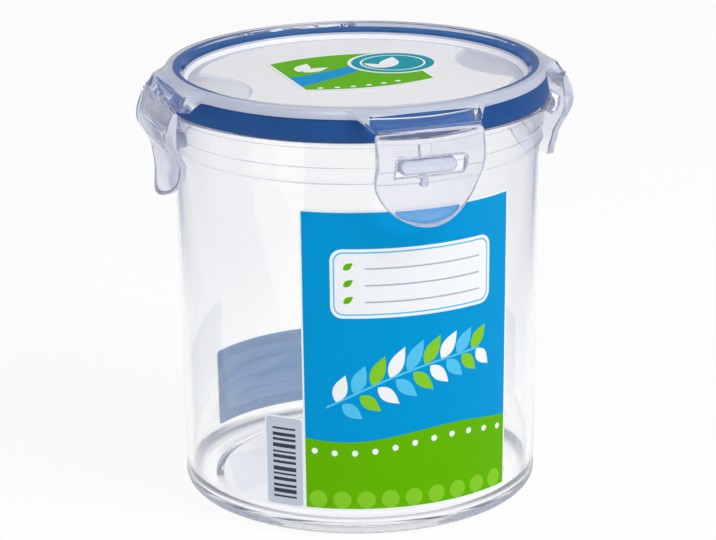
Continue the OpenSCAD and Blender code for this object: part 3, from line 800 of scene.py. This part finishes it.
def frontLayers():
    p, g, w = frontPrint, sprig, writingPanel
    sheet = block((p["left"] + p["right"]) / 2, (p["low"] + p["high"]) / 2, p["right"] - p["left"],
                  p["high"] - p["low"], p["round"])
    tabX, tabZ = (p["tabLeft"] + p["left"]) / 2, (p["low"] + p["tabHigh"]) / 2
    tabW, tabH = p["left"] - p["tabLeft"], p["tabHigh"] - p["low"]
    tab = block(tabX + p["tuck"] / 2, tabZ, tabW + p["tuck"], tabH, p["round"])  # its root is under the sheet
    tabInk = block(tabX, tabZ, tabW - p["tabInset"], tabH - p["tabInset"], 0.9)
    lo, hi, foot, head = (p["left"] + p["border"], p["right"] - p["border"], p["low"] + p["border"],
                          p["high"] - p["border"])
    wave = [(s, waveAt(s)) for s in np.linspace(lo, hi, 41)]
    blue = wave + [(hi, head), (lo, head)]
    green = [(lo, foot), (hi, foot)] + wave[::-1]
    hills = [disc(s, foot + 2.6, 2.5, 24) for s in np.arange(lo + 3.4, hi - 2, 6.6)]
    dots = [disc(s, waveAt(s) - 3.2, 0.85, 20) for s in np.arange(lo + 2.6, hi - 1, 5.5)]
    stem = [sprigAt(t) for t in np.linspace(0, 1, 25)]
    stalk = [(x, y - g["stalk"]) for x, y in stem] + [(x, y + g["stalk"]) for x, y in stem[::-1]]
    leafInks = ("whiteFilm", "paleBlueInk", "paleGreenInk")
    leaves = {ink: [] for ink in leafInks}
    for k, t in enumerate(np.linspace(0.06, 0.94, g["pairs"])):
        x, y = sprigAt(t)
        size = g["longest"] - g["taper"] * abs(t - 0.45)
        leaves[leafInks[k % 3]].append(leaf(x, y + 0.35, size, g["upperW"], 72 - 22 * t))
        leaves[leafInks[(k + 1) % 3]].append(leaf(x + 1.6, y - 0.3, size * 0.86, g["lowerW"], -36 - 14 * t))
    panel, line, face = (block(w["x"], w["z"], w["w"] - cut, w["h"] - cut, curve) for cut, curve in w["rings"])
    rules = [block(w["ruleX"], z, w["ruleW"], w["ruleH"]) for z in w["rows"]]
    marks = [leaf(w["markX"], z - 0.2, 3.2, 1.7, 35) for z in w["rows"]]
    bars, z = [], p["low"] + stripes["from"]
    for k in range(stripes["count"]):
        h = stripes["heights"][k % 4]
        bars.append(block(tabX, z + h / 2, stripes["w"], h))
        z += h + stripes["gaps"][k % 3]
    return [("whiteFilm", [sheet, tab]), ("greyInk", [tabInk]), ("blueInk", [blue]), ("greenInk", [green]),
            ("paleGreenInk", hills), ("whiteFilm", dots), ("paleBlueInk", [stalk]), *leaves.items(),
            ("whiteFilm", [panel]), ("paleBlueInk", [line]), ("whiteFilm", [face]), ("ruleInk", rules),
            ("greenInk", marks), ("slateInk", bars)]


frontLabel = printSheet("frontLabel", frontLayers(), frontPrint, onWall(0))
putOn(frontLabel, "container_body", "front_label_film", "front_label")

# Rear label: a plain pale strip with writing lines; the canister shows its glued side from the front
rearPrint = {
    "width": 70.0, "low": 5.6, "high": 28.0, "border": 0.7, "panelW": 61, "panelH": 16, "ruleW": 53, "ruleH": 0.4,
    "ruleGap": 4.4, "thickness": 0.12, "strip": 2.2,
}


def rearLayers():
    p = rearPrint
    z, h = (p["low"] + p["high"]) / 2, p["high"] - p["low"]
    return [("whiteFilm", [block(0, z, p["width"], h, 1.2)]),
            ("mistInk", [block(0, z, p["width"] - 2 * p["border"], h - 2 * p["border"], 0.8)]),
            ("whiteFilm", [block(0, z, p["panelW"], p["panelH"], 2.0)]),
            ("ruleInk", [block(0, z + k * p["ruleGap"], p["ruleW"], p["ruleH"]) for k in (-1, 0, 1)])]


rearLabel = printSheet("rearLabel", rearLayers(), rearPrint, onWall(180))
putOn(rearLabel, "container_body", "rear_label_film", "rear_label")

# Lid label: straight sides and bowed ends, a band across it with two leaves and a row of beads, and a round badge
lidPrint = {
    "width": 38.0, "length": 40.0, "shift": 4.0, "bowR": 45.6, "badgeX": 14.0, "badgeY": 9.0, "badgeR": 12.5,
    "badgeRings": (1.0, 3.4, 4.0), "z": 115.4, "border": 0.8, "thickness": 0.12, "strip": 60.0,
}
colourBand = {"x": -18.2, "run": 30, "top": 3, "topRise": 13, "topBow": 1.6, "low": -8, "lowRise": 19, "lowBow": 0.8}
beadRow = {"count": 6, "x": -14, "gap": 4.4, "y": -12.7, "bow": 0.25, "r": 0.8}
twigs = {  # place, length, width and turn of each leaf
    "field": ((-13.5, 8.5, 9.5, 4.4, 58), (-12.5, 7.6, 8.5, 4.0, 18)),
    "badge": ((-3.6, -4.8, 12.5, 5.4, 62), (-3.8, -4.8, 8.0, 3.4, 120)),
}


def bowedSheet(inset):
    p = lidPrint
    half, end = p["width"] / 2 - inset, p["length"] / 2 - inset
    bow = [(x, math.sqrt(p["bowR"] ** 2 - x * x) - p["bowR"] + end) for x in np.linspace(-half, half, 25)]
    return [(x, p["shift"] + y) for x, y in bow[::-1]] + [(x, p["shift"] - y) for x, y in bow]


def lidLayers():
    p, b = lidPrint, colourBand
    x, y, r = p["badgeX"], p["badgeY"], p["badgeR"]
    sweep = [(b["x"], b["low"]), (b["x"], b["top"])]
    sweep += [(b["x"] + b["run"] * t, b["top"] + b["topRise"] * t ** b["topBow"]) for t in np.linspace(0.05, 1, 14)]
    sweep += [(b["x"] + b["run"] * (1 - t), b["low"] + b["lowRise"] * (1 - t ** b["lowBow"]))
              for t in np.linspace(0, 0.97, 14)]
    beads = [disc(beadRow["x"] + beadRow["gap"] * k, beadRow["y"] + beadRow["bow"] * (k - 2.5) ** 2, beadRow["r"], 20)
             for k in range(beadRow["count"])]
    rim, line, heart = (disc(x, y, r - cut, count) for cut, count in zip(p["badgeRings"], (64, 56, 56)))
    return [("whiteFilm", [bowedSheet(0), disc(x, y, r, 64)]), ("greenInk", [bowedSheet(p["border"])]),
            ("blueInk", [sweep]), ("whiteFilm", [leaf(*spot) for spot in twigs["field"]]), ("whiteFilm", beads),
            ("whiteFilm", [disc(x, y, r, 64)]), ("tealInk", [rim]), ("whiteFilm", [line]), ("tealInk", [heart]),
            ("whiteFilm", [leaf(x + dx, y + dy, *shape) for dx, dy, *shape in twigs["badge"]])]


def onPanel(x, y, lift):
    return (x, y, lidPrint["z"] + lift)


lidLabel = printSheet("lidLabel", lidLayers(), lidPrint, onPanel)
putOn(lidLabel, "lid_body", "lid_label_film", "lid_label")
print("labels:", [len(o.data.polygons) for o in (frontLabel, rearLabel, lidLabel)])


# Camera: fitted to the canister's rims and sides in the picture
view = {
    "azimuth": -19.55, "elevation": 17.354, "distance": 0.84198, "aimZ": 0.0598, "roll": -0.011, "focalPx": 3038.8,
    "width": 716, "sensorMm": 36.0,
}

# Studio: a white sweep, a big soft key from the upper right and a fill from the left
studio = {
    "sky": 0.6, "horizon": 0.15, "zenith": 0.8, "floor": "#f8f8fa", "floorGlow": 0.86, "floorZ": -0.2,
    "floorHalf": 3000, "card": "#a9afc2", "wing": "#b9bfd0", "fade": (110, 200), "contact": (45.5, 49.5, 52.5),
    "contactZ": -0.1, "contactTone": "#7f8597", "aimZ": 0.06,
    "cardCorners": ((220, 700, 0), (900, 250, 0), (900, 250, 260), (220, 700, 260)),
    "wingCorners": ((110, -150, 0.2), (900, -150, 0.2), (900, 700, 0.2), (110, 700, 0.2)),
}
lamps = {
    "keyLight": {"place": (0.62, -0.8, 1.0), "power": 8.8, "size": (0.7, 0.7)},
    "fillLight": {"place": (-1.0, -0.3, 0.6), "power": 2.2, "size": (0.5, 0.8)},
}


def studioWorld():
    world = bpy.data.worlds.new("studioSky")
    world.use_nodes = True
    tree = world.node_tree
    tree.nodes.clear()
    ray = addNode(tree, "ShaderNodeLightPath")
    aim = addNode(tree, "ShaderNodeSeparateXYZ", {0: addNode(tree, "ShaderNodeTexCoord").outputs["Generated"]})
    dusk = addNode(tree, "ShaderNodeMapRange", {  # mirrored sky: dim near the horizon, pale overhead
        "Value": aim.outputs["Z"], "To Min": studio["horizon"], "To Max": studio["zenith"]})
    mirrored = addNode(tree, "ShaderNodeMix", {
        0: ray.outputs["Is Glossy Ray"], 2: studio["sky"], 3: dusk.outputs["Result"]})
    seen = addNode(tree, "ShaderNodeMath", {
        0: ray.outputs["Is Camera Ray"], 1: ray.outputs["Is Transmission Ray"]}, operation="MAXIMUM")
    shown = addNode(tree, "ShaderNodeMix", {0: seen.outputs[0], 2: mirrored.outputs[0], 3: 1.0})
    sky = addNode(tree, "ShaderNodeBackground", {"Color": (1, 1, 1, 1), "Strength": shown.outputs[0]})
    addNode(tree, "ShaderNodeOutputWorld", {"Surface": sky.outputs[0]})
    scene.world = world


def studioFloor():
    half = studio["floorHalf"]
    corners = [(x, y, studio["floorZ"]) for x, y in ((-half, -half), (half, -half), (half, half), (-half, half))]
    floor = meshObject("floor", corners, [(0, 1, 2, 3)])
    material, tree = newMaterial("paleFloor")
    ray = addNode(tree, "ShaderNodeLightPath")
    seen = addNode(tree, "ShaderNodeMath", {
        0: ray.outputs["Is Camera Ray"], 1: ray.outputs["Is Glossy Ray"]}, operation="MAXIMUM")
    shown = addNode(tree, "ShaderNodeMath", {
        0: seen.outputs[0], 1: ray.outputs["Is Transmission Ray"]}, operation="MAXIMUM")
    share = addNode(tree, "ShaderNodeMath", {0: shown.outputs[0], 1: studio["floorGlow"]}, operation="MULTIPLY")
    matt = addNode(tree, "ShaderNodeBsdfDiffuse", {"Color": linear(studio["floor"])})
    glow = addNode(tree, "ShaderNodeEmission", {"Color": (1, 1, 1, 1), "Strength": 1.0})
    mix = addNode(tree, "ShaderNodeMixShader", {0: share.outputs[0], 1: matt.outputs[0], 2: glow.outputs[0]})
    addNode(tree, "ShaderNodeOutputMaterial", {"Surface": mix.outputs[0]})
    floor.data.materials.append(material)


def softbox(name):
    given = lamps[name]
    light = bpy.data.lights.new(name, "AREA")
    light.energy, light.shape, (light.size, light.size_y) = given["power"], "RECTANGLE", given["size"]
    lamp = bpy.data.objects.new(name, light)
    lamp.location = given["place"]
    lamp.visible_glossy = False  # no hard-edged window in the curved walls
    aim = Vector((0, 0, studio["aimZ"])) - Vector(given["place"])
    lamp.rotation_euler = aim.to_track_quat("-Z", "Y").to_euler()
    scene.collection.objects.link(lamp)


def glowPaper(thing, material, tree, share, colour):
    # a stage piece that only the clear plastic shows: the floor's white, and a tone where the share is 1
    tone = addNode(tree, "ShaderNodeMix", {
        0: share, 6: linear(studio["floor"]), 7: linear(colour)}, data_type="RGBA")
    glow = addNode(tree, "ShaderNodeEmission", {"Color": tone.outputs[2], "Strength": 1.0})
    addNode(tree, "ShaderNodeOutputMaterial", {"Surface": glow.outputs[0]})
    thing.data.materials.append(material)
    thing.visible_camera = thing.visible_diffuse = thing.visible_shadow = False


def sideCard(name, side, colour, corners):
    # a grey card out of view, which the clear walls mirror along their edges; inwards it fades to white
    card = meshObject(name, [(side * x, y, z) for x, y, z in corners], [(0, 1, 2, 3)])
    card.rotation_euler.z = math.radians(view["azimuth"])
    material, tree = newMaterial(name + "Paper")
    spot = addNode(tree, "ShaderNodeSeparateXYZ", {0: addNode(tree, "ShaderNodeTexCoord").outputs["Object"]})
    out = addNode(tree, "ShaderNodeMath", {0: spot.outputs["X"]}, operation="ABSOLUTE")
    fade = addNode(tree, "ShaderNodeMapRange", {
        "Value": out.outputs[0], "From Min": studio["fade"][0] * mm, "From Max": studio["fade"][1] * mm},
        interpolation_type="SMOOTHSTEP")
    glowPaper(card, material, tree, fade.outputs["Result"], colour)


def contactShade():
    # a painted shadow: the dim ring where the rounded foot meets the floor, which shows only through the clear base
    inner, middle, outer = studio["contact"]
    turn = np.linspace(0, 2 * math.pi, 96, endpoint=False)
    rings = [[(r * math.sin(a), -r * math.cos(a), 0) for a in turn] for r in (inner, outer)]
    shade = ringMesh("contactShade", np.array(rings), False)
    shade.location.z = studio["contactZ"] * mm
    material, tree = newMaterial("contactPaper")
    spot = addNode(tree, "ShaderNodeVectorMath", {
        0: addNode(tree, "ShaderNodeTexCoord").outputs["Object"]}, operation="LENGTH").outputs["Value"]
    rise, fall = (addNode(tree, "ShaderNodeMapRange", {
        "Value": spot, "From Min": edge * mm, "From Max": middle * mm}).outputs["Result"] for edge in (inner, outer))
    share = addNode(tree, "ShaderNodeMath", {0: rise, 1: fall}, operation="MULTIPLY")
    glowPaper(shade, material, tree, share.outputs[0], studio["contactTone"])


studioWorld()
studioFloor()
contactShade()
for side, name in ((-1, "left"), (1, "right")):
    sideCard(name + "Card", side, studio["card"], studio["cardCorners"])
    sideCard(name + "Wing", side, studio["wing"], studio["wingCorners"])
for name in lamps:
    softbox(name)

azimuth, elevation = math.radians(view["azimuth"]), math.radians(view["elevation"])
out = math.cos(elevation)
back = Vector((math.sin(azimuth) * out, -math.cos(azimuth) * out, math.sin(elevation)))
lens = bpy.data.cameras.new("camera")
lens.sensor_width, lens.lens = view["sensorMm"], view["focalPx"] * view["sensorMm"] / view["width"]
lens.clip_start, lens.clip_end = 0.01, 20.0
camera = bpy.data.objects.new("camera", lens)
camera.location = Vector((0, 0, view["aimZ"])) + back * view["distance"]
camera.rotation_mode = "QUATERNION"
camera.rotation_quaternion = (-back).to_track_quat("-Z", "Y") @ Quaternion((0, 0, 1), view["roll"])
scene.collection.objects.link(camera)
scene.camera = camera
scene.view_settings.view_transform = "Standard"
scene.cycles.max_bounces = scene.cycles.transmission_bounces = 160  # light runs far inside clear walls
scene.cycles.glossy_bounces, scene.cycles.diffuse_bounces = 128, 12
scene.cycles.sample_clamp_indirect = 2.0
scene.cycles.blur_glossy = 0.0  # keeps the clear walls clear for light that has been on a label or the seal

print("scene ready")
